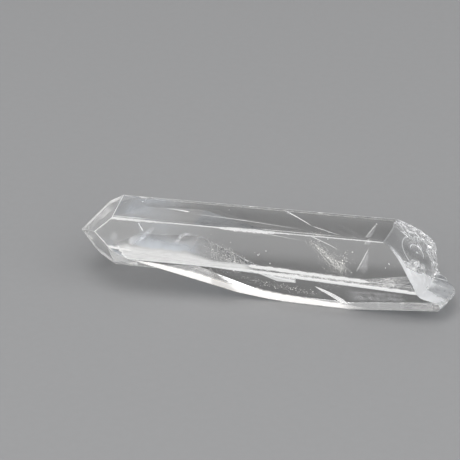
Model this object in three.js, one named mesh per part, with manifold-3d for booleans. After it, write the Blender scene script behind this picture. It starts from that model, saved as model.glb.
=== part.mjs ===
// A clear lemurian quartz point: one crystal lying on its long side, tip towards -X,
// broken base towards +X. Units are millimetres and +Z is up.
import * as THREE from 'three';
import { mergeVertices } from 'three/addons/utils/BufferGeometryUtils.js';
import Module from 'manifold-3d';

// ---- sizes of the crystal -------------------------------------------------
const REACH = 5.35; // from the long axis to each broad long face
const AXIS_HEIGHT = 4.85; // long axis above the table
const TIP_RISE = 1.2; // the tip stands this much above the long axis
const TIP_LEAN = 51.8; // angle between the long axis and the normal of a tip face
const LOW_FACE_BACK = 1.7; // lower tip face starts this far behind the tip
const LOW_FACE_DROP = 2.69; // and this far below it
const CHIN_HEIGHT = 2.9; // underside of the narrow end above the table
const CHIN_RISE = 3.2; // slope of that underside, degrees

// belly: where the flat that it rests on lies, and how the underside rises from it
const BELLY_RISE = 18.3; // slope of the underside towards the tip, degrees
const HEEL_RISE = 8.0; // slope of the underside towards the base, degrees
const HEEL_START = 37.7; // the heel slope starts this far from the tip
const BULGE_END = 24.7; // the swelling of the front lower edge ends here
const NARROW_END = 30.9; // the narrow tip body is buried in the belly from here

// broken base
const BREAK_TOP = 42.6; // where the break meets the top face
const BREAK_SKEW = 0.165; // the break sits farther out towards the back
const BREAK_SLOPE = 0.86; // outward run of the break for each millimetre down
const BREAK_TURN = 46.95; // the back of the break turns steep here
const LIP_HEIGHT = 2.7; // height of the lip under the break
const LIP_REACH = 51.7; // how far the lip sticks out
const LIP_UNDERCUT = 0.6; // the lip draws back this much under its edge
const HOLLOW_Y = -0.3; // middle of the shell-like hollow
const HOLLOW_Z = 7.2;
const HOLLOW_RADIUS = 2.9;
const HOLLOW_DEPTH = 0.75;
const RIPPLE_HEIGHT = 0.09; // rings inside the hollow
const RIPPLE_PITCH = 1.25;
const SCALLOP_DEPTH = 0.42; // small chips around the rim of the break
const BREAK_STEP = 0.32; // facet size of the broken surface

const STOCK = 160; // anything well past the crystal

const wasm = await Module();
wasm.setup();

const radians = THREE.MathUtils.degToRad;

// ---- solids ---------------------------------------------------------------

// A closed three.js geometry as a solid that can be joined and cut.
function solidOf(geometry) {
  const bare = geometry.clone();
  bare.deleteAttribute('normal');
  bare.deleteAttribute('uv');
  const welded = mergeVertices(bare, 1e-5);
  return new wasm.Manifold(new wasm.Mesh({
    numProp: 3,
    vertProperties: new Float32Array(welded.attributes.position.array),
    triVerts: new Uint32Array(welded.index.array),
  }));
}

// A solid back as a three.js geometry with flat faces.
function geometryOf(solid) {
  const mesh = solid.getMesh();
  const indexed = new THREE.BufferGeometry();
  indexed.setAttribute('position', new THREE.BufferAttribute(mesh.vertProperties, 3));
  indexed.setIndex(new THREE.BufferAttribute(mesh.triVerts, 1));
  const geometry = indexed.toNonIndexed();
  geometry.computeVertexNormals();
  return geometry;
}

// Everything outside one crystal face: a block whose near side lies on that face.
function beyond(face) {
  const block = new THREE.BoxGeometry(STOCK, STOCK, STOCK);
  const turn = new THREE.Quaternion().setFromUnitVectors(
    new THREE.Vector3(0, 0, 1), face.normal);
  block.applyQuaternion(turn);
  const middle = face.point.clone().addScaledVector(face.normal, STOCK / 2);
  block.translate(middle.x, middle.y, middle.z);
  return solidOf(block);
}

// Stock cut down by a list of crystal faces.
function cutBy(faces) {
  let solid = solidOf(new THREE.BoxGeometry(STOCK, STOCK / 2, STOCK / 2));
  for (const face of faces) {
    solid = solid.subtract(beyond(face));
  }
  return solid;
}

// ---- crystal faces --------------------------------------------------------

// A face that runs along the crystal. `turn` goes round the long axis, 0 at the back
// and 90 on top; `flare` tips the face so that the crystal widens towards the base.
function longFace(turn, flare, point) {
  const out = Math.cos(radians(flare));
  const normal = new THREE.Vector3(
    -Math.sin(radians(flare)),
    out * Math.cos(radians(turn)),
    out * Math.sin(radians(turn)));
  return { normal, point };
}

// A true prism face, parallel to the long axis.
function prismFace(turn, reach) {
  const point = new THREE.Vector3(
    0,
    reach * Math.cos(radians(turn)),
    AXIS_HEIGHT + reach * Math.sin(radians(turn)));
  return longFace(turn, 0, point);
}

// One of the sloping faces that meet in the tip.
function tipFace(turn, point) {
  return longFace(turn, 90 - TIP_LEAN, point);
}

function at(x, y, z) {
  return new THREE.Vector3(x, y, z);
}

const tip = at(0, 0, AXIS_HEIGHT + TIP_RISE);

// Faces that every part of the crystal shares.
const crown = [
  prismFace(90, REACH),
  prismFace(150, REACH),
  prismFace(30, REACH),
  prismFace(-30, REACH),
  tipFace(90, tip),
  tipFace(210, tip),
  tipFace(-30, tip),
];

// Front lower side: under the narrow tip end and along the belly.
const frontLowNarrow = longFace(207.1, 4.0, at(23.9, -5.82, 5.49));
const frontLowWide = longFace(200.8, 1.8, at(35.56, -5.44, 3.28));

// Underside: a rise towards the tip, a small facet over the corner where it ends at
// the front, the resting flat and a rise towards the base.
const underRise = longFace(273, BELLY_RISE, at(17.56, -4.61, 2.45));
const bellyCorner = longFace(236, 6.5, at(25.13, -3.56, 0.21));
const restFlat = longFace(270, 0, at(0, 0, 0));
const heelRise = longFace(270, -HEEL_RISE, at(HEEL_START, 0, 0));

// The slimmer body behind the tip, with its own lower tip face and flat chin.
function narrowBody() {
  const lowPoint = at(LOW_FACE_BACK, 0, tip.z - LOW_FACE_DROP);
  return cutBy([
    frontLowNarrow,
    longFace(270, -CHIN_RISE, at(5, 0, CHIN_HEIGHT)),
    tipFace(-90, lowPoint),
    longFace(0, -90, at(NARROW_END, 0, 0)),
  ]);
}

// The full belly from the tip to the base.
function bellyBody() {
  return cutBy([frontLowWide, underRise, bellyCorner, restFlat, heelRise]);
}

// The swelling that pushes the front lower edge down behind the tip.
function bulgeBody() {
  return cutBy([
    longFace(200.8, 0, at(0, -5.75, 5.55)),
    underRise,
    bellyCorner,
    restFlat,
    longFace(0, -90, at(BULGE_END, 0, 0)),
  ]);
}

// ---- broken base ----------------------------------------------------------

function ease(from, to, value) {
  const t = THREE.MathUtils.clamp((value - from) / (to - from), 0, 1);
  return t * t * (3 - 2 * t);
}

// The smaller of two lengths, rounded over where they cross.
function softMin(a, b, round) {
  const h = Math.max(round - Math.abs(a - b), 0) / round;
  return Math.min(a, b) - h * h * round / 4;
}

// The long slope of the break: a rounded shoulder at the top front, running out
// downwards, and steeper down the back.
function breakSlope(y, z) {
  const drop = AXIS_HEIGHT + REACH - z;
  const shoulder = 0.9 * (1 - Math.exp(-Math.max(drop, 0) / 0.7));
  const run = BREAK_TOP + BREAK_SKEW * y + shoulder + BREAK_SLOPE * drop;
  return softMin(run, BREAK_TURN + 0.19 * drop, 1.4);
}

// A shell-like hollow with rings round its middle.
function hollow(y, z) {
  const r = Math.hypot(y - HOLLOW_Y, 0.8 * (z - HOLLOW_Z));
  const bowl = HOLLOW_DEPTH * (1 - ease(0, HOLLOW_RADIUS, r));
  const rings = RIPPLE_HEIGHT * Math.cos(2 * Math.PI * r / RIPPLE_PITCH);
  return bowl + rings * (1 - ease(0.6 * HOLLOW_RADIUS, HOLLOW_RADIUS, r));
}

// Small scooped chips with sharp ridges between them, strongest at the rim.
function chips(y, z) {
  const across = Math.abs(Math.sin(1.9 * y + 0.9 * Math.sin(1.3 * z)));
  const down = Math.abs(Math.sin(1.6 * z + 0.8 * Math.sin(1.5 * y) + 0.6));
  const rim = ease(2.4, 4.6, Math.hypot(y - HOLLOW_Y, z - HOLLOW_Z));
  return SCALLOP_DEPTH * across * down * rim;
}

// How far from the tip the broken surface lies at a height and a depth.
function breakAt(y, z) {
  const slope = breakSlope(y, z) - hollow(y, z);
  const undercut = LIP_UNDERCUT * ease(LIP_HEIGHT, LIP_HEIGHT - 1.3, z);
  const lip = LIP_REACH - 0.08 * (y + 1.5) * (y + 1.5) - undercut;
  const under = ease(LIP_HEIGHT + 0.5, LIP_HEIGHT - 0.5, z + 0.14 * y);
  return slope + (Math.max(lip, slope) - slope) * under - chips(y, z);
}

// Everything past the broken surface.
function pastBreak() {
  const side = 16;
  const cells = Math.round(side / BREAK_STEP);
  const block = new THREE.BoxGeometry(STOCK, side, side, 1, cells, cells);
  const spots = block.attributes.position;
  for (let i = 0; i < spots.count; i += 1) {
    const y = spots.getY(i);
    const z = spots.getZ(i) + AXIS_HEIGHT;
    const onBreak = spots.getX(i) < 0;
    spots.setXYZ(i, onBreak ? breakAt(y, z) : STOCK, y, z);
  }
  return solidOf(block);
}

// ---- the crystal ----------------------------------------------------------

function crystal() {
  const lower = narrowBody().add(bellyBody()).add(bulgeBody());
  const whole = cutBy(crown).intersect(lower).subtract(pastBreak());
  const geometry = geometryOf(whole);
  geometry.computeBoundingBox();
  const middle = geometry.boundingBox.getCenter(new THREE.Vector3());
  geometry.translate(-middle.x, -middle.y, -geometry.boundingBox.min.z);
  geometry.computeBoundingBox();
  return geometry;
}

const clearQuartz = new THREE.MeshStandardMaterial({
  color: 0xe9eef2,
  roughness: 0.04,
  metalness: 0,
});

const quartz = new THREE.Mesh(crystal(), clearQuartz);
quartz.name = 'quartz_point';

const part = new THREE.Group();
part.name = 'lemurian_quartz_point';
part.add(quartz);

export default part;
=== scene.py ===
"""A clear lemurian quartz point lying on its long side on a pale floor.

The crystal is one piece: a six-sided column with a faceted tip towards -X and a
shell-like broken base towards +X. Lengths inside the functions are millimetres and
are brought to metres when a mesh is finished.
"""

import math
from functools import partial, reduce
from itertools import combinations

import bmesh
import bpy
import numpy as np
from mathutils import Matrix, Vector


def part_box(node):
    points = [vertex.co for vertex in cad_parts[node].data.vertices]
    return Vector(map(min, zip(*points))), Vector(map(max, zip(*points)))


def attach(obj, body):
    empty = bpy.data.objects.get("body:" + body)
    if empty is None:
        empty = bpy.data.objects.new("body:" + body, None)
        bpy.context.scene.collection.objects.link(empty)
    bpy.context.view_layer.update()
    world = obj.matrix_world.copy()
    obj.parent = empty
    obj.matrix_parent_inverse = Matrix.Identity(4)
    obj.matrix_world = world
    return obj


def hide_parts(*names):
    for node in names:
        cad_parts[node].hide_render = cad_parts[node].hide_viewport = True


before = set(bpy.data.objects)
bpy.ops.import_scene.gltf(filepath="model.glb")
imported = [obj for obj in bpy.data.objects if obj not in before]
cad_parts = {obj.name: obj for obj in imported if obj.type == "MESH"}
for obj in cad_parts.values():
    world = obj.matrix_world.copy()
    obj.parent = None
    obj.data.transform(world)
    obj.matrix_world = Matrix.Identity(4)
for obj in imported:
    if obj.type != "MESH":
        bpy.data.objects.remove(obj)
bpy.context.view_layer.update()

bl_info = {
    "name": "Lemurian Quartz Point",
    "version": (1, 0, 0),
    "blender": (4, 5, 0),
    "location": "View3D > Sidebar > Quartz",
    "description": "Builds a clear quartz point with its films, specks and broken base",
    "category": "Add Mesh",
}

MM = 0.001
POLISHED, BROKEN, WORN, ETCHED, TOP, FRONT, TIP, SIDE = range(8)

# Lower faces: turn and flare in degrees, and one point on each. The chin is the
# underside of the narrow end; its height is measured CHIN_START from the tip.
NARROW_SIDE = (207.1, 4.0, (23.9, -5.82, 5.49))
WIDE_SIDE = (200.8, 1.8, (35.56, -5.44, 3.28))
BULGE_SIDE = (200.8, 0.0, (0.0, -5.75, 5.55))
CORNER = (236.0, 6.5, (25.13, -3.56, 0.21))
CHIN = (270.0, -3.2)
CHIN_START = 5.0
RISE_TURN = 273.0
RISE_AT = (17.56, -4.61, 2.45)

# Tip to the low tip face, along the crystal and down, and where the narrow body and
# the bulge end, buried in the belly.
LOW_FACE_BACK = 1.7
LOW_FACE_DROP = 2.69
NARROW_END = 30.9
BULGE_END = 24.7

# Middles of the shell-like hollow and of the ring in it, over depth and height.
HOLLOW_AT = (0.1, 7.05)
RING_AT = (0.4, 6.95)

# Shells of the break: the pitch of each net and the seed of its random middles.
COARSE_SHELLS = (1.25, 5)
FINE_SHELLS = (0.7, 9)
GRAIN_SHELLS = (1.0, 3)

# Marks on the faces: where the white wedge of the front face has its foot and its
# start, the bruises on the back top edge (distance from the tip, size) and how much
# finer brushed marks are across the crystal than along it. The wedge is painted
# reflection: white that stands for light mirrored inside the crystal.
WEDGE_FOOT = 5.57
WEDGE_START = 7.85
BACK_EDGE_CHIPS = ((8.0, 0.42), (9.4, 0.2), (23.1, 0.30), (23.9, 0.16), (32.6, 0.24))
BRUSHED = (0.5, 3.0, 3.0)

# Lines that the specks gather about, from start to end.
FEATHER = (32.2, -0.95, 8.0), (36.9, -2.4, 5.0)
FEATHER_FOOT = (34.5, -1.7, 6.4), (36.6, -2.8, 4.7)
FEATHER_TUFT = (36.4, -1.7, 6.7), (37.4, -2.1, 5.9)
FEATHER_QUILL = (35.6, -2.2, 5.9), (37.2, -2.4, 5.2)
WISP_CLOUD = (18.6, -1.8, 6.4), (22.2, -2.9, 4.6)
WISP_CORE = (20.9, -1.9, 6.4), (22.4, -3.0, 4.5)
WISP_STROKES = (18.8, -1.7, 7.0), (22.2, -2.5, 5.7)
SIDE_CLOUD = (23.5, -3.9, 3.9), (34.0, -3.5, 1.9)

# Single specks: place and size.
SINGLE_SPECKS = np.array([
    (19.96, 3.21, 7.71, 0.13), (25.14, -1.29, 5.39, 0.16), (25.32, -1.2, 5.5, 0.12),
    (26.17, -0.97, 5.93, 0.13), (26.86, -1.78, 4.54, 0.15), (42.78, -1.06, 5.74, 0.22),
    (42.36, -1.35, 5.25, 0.14), (34.47, -0.8, 8.54, 0.12), (40.26, 2.58, 8.37, 0.13),
    (36.68, -1.67, 6.69, 0.12), (37.2, -1.8, 6.4, 0.11), (24.7, -1.35, 5.75, 0.09),
    (5.9, 1.6, 9.4, 0.12), (8.2, 2.2, 9.5, 0.14)])

# Directions in which blades are wide, and the bend where two streaks meet.
LEVEL = (0.0, 1.0, 0.2)
LENGTHWISE = (1.0, 0.2, 0.0)
STREAK_BEND = (31.81, 1.02, 7.71)

# The painted reflection band: a white, glowing band low behind the front faces that
# stands for light mirrored off the underside inside the crystal. Distance from the
# tip and height of its two borders, how far behind the faces it lies, and where it
# leaves the bulge.
BAND_TOP = [
    (8.4, 5.54), (10.3, 5.50), (13.0, 5.30), (15.8, 4.80), (18.4, 4.17), (21.0, 3.15),
    (23.8, 2.75), (25.1, 2.56), (26.5, 2.4), (29.2, 1.94), (31.9, 1.65), (34.6, 1.44),
    (37.3, 1.17), (41.0, 0.75)]
BAND_FOOT = [
    (8.4, 5.46), (10.2, 4.90), (13.0, 3.95), (15.6, 3.13), (18.2, 2.29), (20.9, 1.4),
    (23.6, 0.70), (24.9, 0.54), (26.2, 0.34), (29.0, 0.18), (31.8, 0.16), (34.5, 0.16),
    (37.3, 0.16), (41.0, 0.62)]
BAND_DEPTH = 0.11
BAND_TURN = 24.3

# Places in the sky that differ from the rest: turn and rise in degrees, cosines of
# the angles from there at which the change begins and is full, and the change.
SKY_SPOTS = (
    (-7.0, 9.0, 0.990, 0.997, 0.5),
    (26.0, 41.0, 0.92, 0.985, -0.16),
    (-27.0, 30.0, 0.955, 0.985, -0.14),
    (-72.0, 53.0, 0.88, 0.985, -0.27),
    (167.0, 15.0, 0.955, 0.985, -0.18))

# Soft boxes: name, turn and rise in degrees, side in metres and power in watts, and
# how many metres they stand from the crystal.
SOFT_BOXES = (
    ("key", -163.0, 80.0, 0.34, 0.92),
    ("fill", 120.0, 40.0, 0.75, 1.5),
    ("side", -120.0, 12.0, 0.42, 1.6))
BOX_AWAY = 0.60

# The camera looks at this place. The picture is this wide in pixels, and the crystal
# is shifted in it.
LOOK_AT = (25.0, 0.0, 4.85)
PICTURE_PIXELS = 460.0
SHIFT_RIGHT = 31.207
SHIFT_DOWN = 23.17


# ---- property helpers -------------------------------------------------------

def length(name, millimetres, text):
    """A length, shown in the scene's units."""
    return bpy.props.FloatProperty(
        name=name, description=text, default=millimetres * MM, unit="LENGTH",
        precision=5)


def angle(name, degrees, text):
    """An angle, shown in degrees."""
    return bpy.props.FloatProperty(
        name=name, description=text, default=math.radians(degrees),
        unit="ROTATION", subtype="ANGLE")


def number(name, value, text):
    """A plain number."""
    return bpy.props.FloatProperty(
        name=name, description=text, default=value, precision=4)


def colour(name, rgba, text):
    """A colour with alpha."""
    return bpy.props.FloatVectorProperty(
        name=name, description=text, default=rgba, size=4, subtype="COLOR",
        min=0.0, max=1.0)


class CrystalSizes(bpy.types.PropertyGroup):
    """Sizes of the column, the tip and the underside."""
    reach: length("Reach", 5.35, "Long axis to each broad long face")
    axis_height: length("Axis height", 4.85, "Long axis above the floor")
    tip_rise: length("Tip rise", 1.2, "Tip above the long axis")
    tip_lean: angle("Tip lean", 51.8, "Long axis to the normal of a tip face")
    chin_height: length("Chin height", 2.9, "Underside of the narrow end above the floor")
    belly_rise: angle("Belly rise", 18.3, "Slope of the underside towards the tip")
    heel_rise: angle("Heel rise", 8.0, "Slope of the underside towards the base")
    heel_start: length("Heel start", 37.7, "Tip to the start of the heel slope")
    edge_wear: length("Edge wear", 0.19, "Width of the worn band along each edge")
    refraction: number("Refraction", 1.544, "Index of refraction of quartz")


class BreakSizes(bpy.types.PropertyGroup):
    """Sizes of the broken base."""
    top: length("Top", 42.6, "Where the break meets the top face")
    skew: number("Skew", 0.165, "Run of the break for each step towards the back")
    slope: number("Slope", 0.86, "Run of the break for each step down")
    turn: length("Turn", 46.95, "Where the back of the break turns steep")
    lip_height: length("Lip height", 2.7, "Height of the lip under the break")
    lip_reach: length("Lip reach", 51.55, "How far the lip sticks out")
    lip_undercut: length("Lip undercut", 0.6, "How far the lip draws back below")
    hollow_radius: length("Hollow radius", 2.9, "Radius of the shell-like hollow")
    hollow_depth: length("Hollow depth", 0.30, "Depth of the shell-like hollow")
    cell: length("Cell", 0.065, "Cell size of the broken surface")


class FinishColours(bpy.types.PropertyGroup):
    """Colours of the white and dull places and of what lies inside the crystal."""
    clear: colour("Clear faces", (0.99, 0.985, 0.975, 1.0), "White places on clear faces")
    bloom: colour("Bloom", (0.89, 0.935, 1.0, 1.0), "Bluish bloom behind the tip")
    etched: colour("Underside", (0.74, 0.78, 0.83, 1.0), "Dull underside")
    worn: colour("Worn edges", (0.98, 0.985, 0.99, 1.0), "Rubbed edges")
    broken: colour("Break", (0.975, 0.985, 1.0, 1.0), "Frost and seams of the break")
    specks: colour("Specks", (0.98, 0.97, 0.95, 1.0), "Fine specks and wisps")
    streaks: colour("Streaks", (1.0, 1.0, 1.0, 1.0), "Streaks, rims and single specks")
    films: colour("Films", (0.98, 0.98, 1.0, 1.0), "Films")
    # Painted reflection: colour of the glowing white band that stands for light mirrored off the
    # underside.
    painted_reflection_band: colour("Low band", (1.0, 0.99, 0.98, 1.0), "White band behind the front faces")


class StageSizes(bpy.types.PropertyGroup):
    """Camera, floor and light."""
    azimuth: angle("Azimuth", 13.855, "Camera turned towards the broken base")
    elevation: angle("Elevation", 30.862, "Camera above the floor")
    roll: angle("Roll", 2.0, "Camera turned about its own axis")
    distance: length("Distance", 331.084, "Camera to the crystal")
    frame_width: length("Frame width", 61.853, "Width that the picture takes in")
    floor_gap: length("Floor gap", 0.03, "Floor below the flat that the crystal rests on")
    floor_colour: colour("Floor", (0.38, 0.38, 0.385, 1.0), "Floor colour")


# ---- meshes -------------------------------------------------------------------

def face(turn, flare, point):
    """A crystal face as a plane (normal, offset).

    turn goes round the long axis in degrees, 0 at the back and 90 on top. flare
    tips the face so that the crystal widens towards the base.
    """
    around, out = math.radians(turn), math.radians(flare)
    normal = np.array([
        -math.sin(out),
        math.cos(out) * math.cos(around),
        math.cos(out) * math.sin(around)])
    return np.append(normal, normal @ np.asarray(point, float))


def prism_face(turn, reach, height):
    """A face parallel to the long axis, reach away from it."""
    around = math.radians(turn)
    return face(turn, 0.0, (
        0.0, reach * math.cos(around), height + reach * math.sin(around)))


def block_faces(half=80.0):
    """Six planes round a block that is larger than the crystal."""
    axes = np.vstack([np.eye(3), -np.eye(3)])
    return np.hstack([axes, np.full((6, 1), half)])


def corners_and_rings(planes):
    """Corners and face outlines of the solid that lies behind every plane.

    A corner is the point shared by three planes that lies outside none of them. A
    face's outline is its corners in order of angle about their middle.
    """
    trios = np.array(list(combinations(range(len(planes)), 3)))
    normals = planes[trios, :3]
    sound = np.abs(np.linalg.det(normals)) > 1e-5
    offsets = planes[trios[sound], 3][..., None]
    points = np.linalg.solve(normals[sound], offsets)[..., 0]
    inside = np.all(points @ planes[:, :3].T <= planes[:, 3] + 1e-6, axis=1)
    points = np.unique(np.round(points[inside], 6), axis=0)
    rings = []
    for plane in planes:
        on_face = np.flatnonzero(np.abs(points @ plane[:3] - plane[3]) < 1e-4)
        if len(on_face) < 3:
            continue
        spokes = points[on_face] - points[on_face].mean(axis=0)
        across = spokes[0] / np.linalg.norm(spokes[0])
        up = np.cross(plane[:3], across)
        order = np.argsort(np.arctan2(spokes @ up, spokes @ across))
        rings.append(on_face[order].tolist())
    return points, rings


def grid_quads(grid):
    """The four-sided cells of a grid of point numbers."""
    cells = [grid[:-1, :-1], grid[:-1, 1:], grid[1:, 1:], grid[1:, :-1]]
    return np.stack(cells, axis=-1).reshape(-1, 4)


def mesh_object(name, points, rings, index=POLISHED):
    """A linked object from points and face outlines."""
    mesh = bpy.data.meshes.new(name)
    mesh.from_pydata(points, [], rings)
    mesh.update()
    mesh.polygons.foreach_set("material_index", [index] * len(mesh.polygons))
    piece = bpy.data.objects.new(name, mesh)
    bpy.context.scene.collection.objects.link(piece)
    return piece


def drop_object(piece):
    """Removes a helper object and its mesh."""
    mesh = piece.data
    bpy.data.objects.remove(piece)
    bpy.data.meshes.remove(mesh)


def settle(piece):
    """Makes the piece's modifiers permanent."""
    view = bpy.context.evaluated_depsgraph_get()
    view.update()
    fixed = bpy.data.meshes.new_from_object(piece.evaluated_get(view))
    old = piece.data
    piece.modifiers.clear()
    piece.data = fixed
    bpy.data.meshes.remove(old)


def combine(piece, other, operation):
    """Joins, cuts or trims a piece with another, which is used up."""
    modifier = piece.modifiers.new("combine", "BOOLEAN")
    modifier.operation = operation
    modifier.solver = "EXACT"
    modifier.object = other
    settle(piece)
    drop_object(other)


def solid(name, planes):
    """The solid behind a list of planes, inside a large block."""
    return mesh_object(name, *corners_and_rings(np.vstack([block_faces(), planes])))


def weld(piece, flat_angle=None):
    """Joins corners that fall together after a cut and, where flat_angle is given,
    neighbouring faces that lie that close to one plane.
    """
    shape = bmesh.new()
    shape.from_mesh(piece.data)
    bmesh.ops.remove_doubles(shape, verts=shape.verts, dist=1e-4)
    if flat_angle is not None:
        bmesh.ops.dissolve_limit(
            shape, angle_limit=flat_angle, verts=shape.verts, edges=shape.edges)
    shape.to_mesh(piece.data)
    shape.free()


# ---- the crystal's shape ------------------------------------------------------

def crown_planes(s):
    """Upper long faces, back lower face and the three large tip faces."""
    reach, height = s.reach / MM, s.axis_height / MM
    tip = (0.0, 0.0, height + s.tip_rise / MM)
    lean = 90.0 - math.degrees(s.tip_lean)
    turns = (90, 150, 30, -30)
    long_faces = [prism_face(turn, reach, height) for turn in turns]
    return np.array(long_faces + [face(turn, lean, tip) for turn in (90, 210, -30)])


def lower_planes(s):
    """Planes of the narrow end, the belly and the bulge of the front lower edge."""
    height = s.axis_height / MM
    lean = 90.0 - math.degrees(s.tip_lean)
    rise = face(RISE_TURN, math.degrees(s.belly_rise), RISE_AT)
    corner = face(*CORNER)
    rest = face(270, 0.0, (0.0, 0.0, 0.0))
    heel = face(270, -math.degrees(s.heel_rise), (s.heel_start / MM, 0.0, 0.0))
    low_tip = (LOW_FACE_BACK, 0.0, height + s.tip_rise / MM - LOW_FACE_DROP)
    narrow = [
        face(*NARROW_SIDE),
        face(*CHIN, (CHIN_START, 0.0, s.chin_height / MM)),
        face(-90, lean, low_tip),
        face(0, -90, (NARROW_END, 0.0, 0.0))]
    belly = [face(*WIDE_SIDE), rise, corner, rest, heel]
    bulge = [face(*BULGE_SIDE), rise, corner, rest, face(0, -90, (BULGE_END, 0.0, 0.0))]
    return np.array(narrow), np.array(belly), np.array(bulge)


def ease(start, end, value):
    """0 before start, 1 after end, smooth between."""
    t = np.clip((value - start) / (end - start), 0.0, 1.0)
    return t * t * (3.0 - 2.0 * t)


def soft_min(a, b, rounding):
    """The smaller of two lengths, rounded over where they cross."""
    h = np.maximum(rounding - np.abs(a - b), 0.0) / rounding
    return np.minimum(a, b) - h * h * rounding / 4.0


def crest(distance, width):
    """1 where the distance is 0, falling off as a bell: exp(-(distance / width)^2)."""
    return np.exp(-(distance / width) ** 2)


def shells(y, z, pitch, seed):
    """Shallow shells: their height and the closeness to the seams between them.

    One middle is dropped at random in each square of a net. With n the distance to
    the nearest middle and m to the next one, height is 1 - (n / 0.75 pitch)^2 and
    closeness is exp(-((m - n) / 0.11)^2).
    """
    rng = np.random.default_rng(seed)
    net = np.arange(-9.0, 15.0, pitch)
    grid = np.stack(np.meshgrid(net, net, indexing="ij"), axis=-1)
    middles = grid + rng.uniform(0.0, pitch, grid.shape)
    column = np.clip(((y + 9.0) // pitch).astype(int), 1, len(net) - 2)
    row = np.clip(((z + 9.0) // pitch).astype(int), 1, len(net) - 2)
    gaps = []
    for i in (-1, 0, 1):
        for j in (-1, 0, 1):
            middle = middles[column + i, row + j]
            gaps.append(np.hypot(y - middle[..., 0], z - middle[..., 1]))
    gaps = np.sort(np.stack(gaps), axis=0)
    height = 1.0 - np.minimum(gaps[0] / (0.75 * pitch), 1.0) ** 2
    return height, crest(gaps[1] - gaps[0], 0.11)


def swerve(y, z):
    """Depth and height shifted by slow waves, so that seams run in bends."""
    return (y + 0.30 * np.sin(2.1 * z + 0.6) + 0.12 * np.sin(4.3 * z),
            z + 0.30 * np.sin(1.9 * y) + 0.12 * np.sin(4.1 * y + 1.0))


def crumbled(y, z):
    """1 over the crumbled back rim of the break, 0 over its smooth front."""
    forward = 0.7 * np.clip(4.7 - z, 0.0, 1.6)
    bay = 0.5 * crest(z - 5.6, 1.0)
    return ease(1.3, 2.1, y + 0.10 * (z - 5.0) + forward - bay)


def frosted(y, z):
    """1 over the frosted lower front corner of the break, with a ragged upper edge."""
    ragged = 0.20 * np.sin(3.1 * y + 1.0) + 0.07 * np.sin(7.0 * y + 5.0 * z)
    return ease(-0.25, 0.3, 3.44 - 0.913 * y - z + ragged) * ease(1.2, 0.2, y)


def hollow_rings(y, z):
    """Fine crests in the shell-like hollow: an open ring with a pip in it, an outer
    arc and a short scoop below.
    """
    side, rise = y - RING_AT[0], z - RING_AT[1]
    r = np.hypot(side, rise)
    ring = crest(r - 1.0, 0.085) * ease(-0.9, 0.4, side + 0.5 * rise)
    oval = np.hypot((y - 0.1) / 2.6, (z - 7.1) / 1.9)
    arc = crest(oval - 1.0, 0.045) * ease(1.9, 0.9, y) * ease(6.9, 7.6, z)
    scoop = crest(np.hypot(y + 1.4, z - 7.9) - 1.75, 0.10)
    scoop = scoop * ease(6.6, 6.2, z) * ease(-2.6, -2.2, y) * ease(-0.2, -0.8, y)
    return ring + 0.8 * arc + scoop + 1.2 * crest(r, 0.16)


def break_at(y, z, s, b):
    """Distance of the broken surface from the tip, over depth y and height z.

    A rounded shoulder and a long slope turn steep at the back; a lip sticks out
    below; a shell-like hollow with rings is sunk in the middle; scooped chips with
    sharp seams crowd the back rim.
    """
    drop = (s.axis_height + s.reach) / MM - z
    shoulder = 0.9 * (1.0 - np.exp(-np.maximum(drop, 0.0) / 0.7))
    run = b.top / MM + b.skew * y + shoulder + b.slope * drop
    slope = soft_min(run, b.turn / MM + 0.19 * drop, 1.4)
    radius = b.hollow_radius / MM
    r = np.hypot(y - HOLLOW_AT[0], 0.9 * (z - HOLLOW_AT[1]))
    bowl = b.hollow_depth / MM * (1.0 - ease(0.0, radius, r))
    warped = swerve(y, z)
    chips = 0.24 * shells(*warped, *COARSE_SHELLS)[0] + 0.06 * shells(*warped, *FINE_SHELLS)[0]
    grain = 0.08 * shells(*warped, *GRAIN_SHELLS)[0]
    rough = chips * crumbled(y, z) + grain * frosted(y, z)
    undercut = b.lip_undercut / MM * ease(b.lip_height / MM, b.lip_height / MM - 1.3, z)
    lip = b.lip_reach / MM - 0.08 * (y + 1.5) ** 2 - undercut
    under = ease(b.lip_height / MM + 0.5, b.lip_height / MM - 0.5, z + 0.14 * y)
    slope = slope - bowl + 0.02 * hollow_rings(y, z)
    return slope + (np.maximum(lip, slope) - slope) * under - rough


def past_break(s, b):
    """Everything past the broken surface: a grid over y and z at x = break_at(y, z),
    closed by a block behind it.
    """
    cell = b.cell / MM
    ys = np.arange(-8.013, 8.0, cell)
    zs = np.arange(-2.617, 13.3, cell)
    y, z = np.meshgrid(ys, zs, indexing="ij")
    front = np.stack([break_at(y, z, s, b), y, z], axis=-1).reshape(-1, 3)
    ny, nz = y.shape
    number_of = np.arange(ny * nz).reshape(ny, nz)
    far = np.array([
        [90.0, ys[0], zs[0]], [90.0, ys[-1], zs[0]],
        [90.0, ys[-1], zs[-1]], [90.0, ys[0], zs[-1]]])
    k = ny * nz
    low, high = number_of[:, 0].tolist(), number_of[:, -1].tolist()
    near, back = number_of[0, :].tolist(), number_of[-1, :].tolist()
    rings = grid_quads(number_of).tolist()
    rings.append(low + [k + 1, k])
    rings.append(high[::-1] + [k + 3, k + 2])
    rings.append(near[::-1] + [k, k + 3])
    rings.append(back + [k + 2, k + 1])
    rings.append([k, k + 1, k + 2, k + 3])
    return mesh_object("past_break", np.vstack([front, far]), rings, BROKEN)


def tip_foot(s):
    """The floor point below the tip, in the row frame."""
    low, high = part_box("quartz_point")
    back_corner = s.reach / math.cos(math.radians(30.0))
    return Vector((low[0], high[1] - back_corner, 0.0))


def to_row(piece, s):
    """Moves a finished mesh from millimetres at the tip to metres in the row frame."""
    piece.data.transform(Matrix.Translation(tip_foot(s)) @ Matrix.Scale(MM, 4))


def store(piece, name, values):
    """Stores one number for each point of a mesh."""
    layer = piece.data.attributes.new(name, "FLOAT", "POINT")
    layer.data.foreach_set("value", np.clip(values, 0.0, 1.0).astype(np.float32))


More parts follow.
